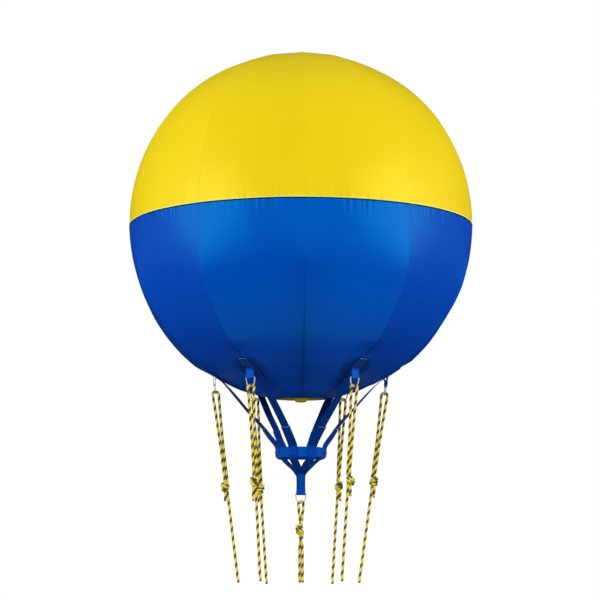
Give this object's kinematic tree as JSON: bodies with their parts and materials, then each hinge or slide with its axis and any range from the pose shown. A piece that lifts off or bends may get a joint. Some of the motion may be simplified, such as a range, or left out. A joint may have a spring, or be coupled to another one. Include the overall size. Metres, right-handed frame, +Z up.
{
  "type": "round advertising balloon with harness and mooring ropes",
  "caption": "Round gas-filled envelope of sewn gores in two colours, over a webbing harness with a belt, hinged rings and knotted mooring ropes.",
  "frame": {"origin": "centre of the round envelope, where the air carries it", "axes": "+Z up, -Y to the front, where the middle seam between two gores is; +X to the right seen from the front"},
  "size_m": [2.003, 2.003, 3.083],
  "materials": {
    "yellow_pvc": "satin coated fabric",
    "blue_pvc": "satin coated fabric",
    "navy_pvc": "satin coated fabric",
    "blue_webbing": "woven webbing",
    "steel_wire": "bright plated wire",
    "fleck_rope": "braided rope",
    "yellow_plastic": "moulded"
  },
  "bodies": {
    "balloon": {"upper_gore_01": "yellow_pvc", "upper_gore_02": "yellow_pvc", "upper_gore_03": "yellow_pvc", "upper_gore_04": "yellow_pvc", "upper_gore_05": "yellow_pvc", "upper_gore_06": "yellow_pvc", "upper_gore_07": "yellow_pvc", "upper_gore_08": "yellow_pvc", "upper_gore_09": "yellow_pvc", "upper_gore_10": "yellow_pvc", "lower_gore_01": "blue_pvc", "lower_gore_02": "blue_pvc", "lower_gore_03": "blue_pvc", "lower_gore_04": "blue_pvc", "lower_gore_05": "blue_pvc", "lower_gore_06": "blue_pvc", "lower_gore_07": "blue_pvc", "lower_gore_08": "blue_pvc", "lower_gore_09": "blue_pvc", "lower_gore_10": "blue_pvc", "seam_tape": "blue_pvc", "crown_disc": "yellow_pvc", "base_disc": "yellow_pvc", "inflation_valve": "yellow_plastic", "valve_cap": "yellow_plastic", "belt": "blue_webbing", "tail_loop": "blue_webbing", "patch_front_left": "navy_pvc", "strap_front_left": "blue_webbing", "tab_front_left": "blue_webbing", "patch_front_right": "navy_pvc", "strap_front_right": "blue_webbing", "tab_front_right": "blue_webbing", "patch_side_left": "navy_pvc", "strap_side_left": "blue_webbing", "tab_side_left": "blue_webbing", "patch_side_right": "navy_pvc", "strap_side_right": "blue_webbing", "tab_side_right": "blue_webbing", "patch_back_left": "navy_pvc", "strap_back_left": "blue_webbing", "tab_back_left": "blue_webbing", "patch_back_right": "navy_pvc", "strap_back_right": "blue_webbing", "tab_back_right": "blue_webbing"},
    "tether_front_left": {"ring_front_left": "steel_wire", "rope_front_left": "fleck_rope"},
    "tether_front_right": {"ring_front_right": "steel_wire", "rope_front_right": "fleck_rope"},
    "tether_side_left": {"ring_side_left": "steel_wire", "rope_side_left": "fleck_rope"},
    "tether_side_right": {"ring_side_right": "steel_wire", "rope_side_right": "fleck_rope"},
    "tether_back_left": {"ring_back_left": "steel_wire", "rope_back_left": "fleck_rope"},
    "tether_back_right": {"ring_back_right": "steel_wire", "rope_back_right": "fleck_rope"},
    "tether_centre": {"ring_centre": "steel_wire", "rope_centre": "fleck_rope"}
  },
  "joints": [
    {"name": "swing_front_left", "type": "hinge", "parent": "balloon", "child": "tether_front_left", "pos_m": [-0.29389, -0.40451, -0.942], "axis": [-0.809, 0.5878, 0], "range_deg": [-12, 60]},
    {"name": "swing_front_right", "type": "hinge", "parent": "balloon", "child": "tether_front_right", "pos_m": [0.29389, -0.40451, -0.942], "axis": [-0.809, -0.5878, 0], "range_deg": [-12, 60]},
    {"name": "swing_side_left", "type": "hinge", "parent": "balloon", "child": "tether_side_left", "pos_m": [-0.5, 0, -0.942], "axis": [0, 1, 0], "range_deg": [-12, 60]},
    {"name": "swing_side_right", "type": "hinge", "parent": "balloon", "child": "tether_side_right", "pos_m": [0.49627, 0.06094, -0.942], "axis": [0.1219, -0.9925, 0], "range_deg": [-12, 60]},
    {"name": "swing_back_left", "type": "hinge", "parent": "balloon", "child": "tether_back_left", "pos_m": [-0.26496, 0.42402, -0.942], "axis": [0.848, 0.5299, 0], "range_deg": [-12, 60]},
    {"name": "swing_back_right", "type": "hinge", "parent": "balloon", "child": "tether_back_right", "pos_m": [0.26496, 0.42402, -0.942], "axis": [0.848, -0.5299, 0], "range_deg": [-12, 60]},
    {"name": "swing_centre", "type": "hinge", "parent": "balloon", "child": "tether_centre", "pos_m": [0, 0, -1.574], "axis": [1, 0, 0], "range_deg": [-40, 40]}
  ]
}
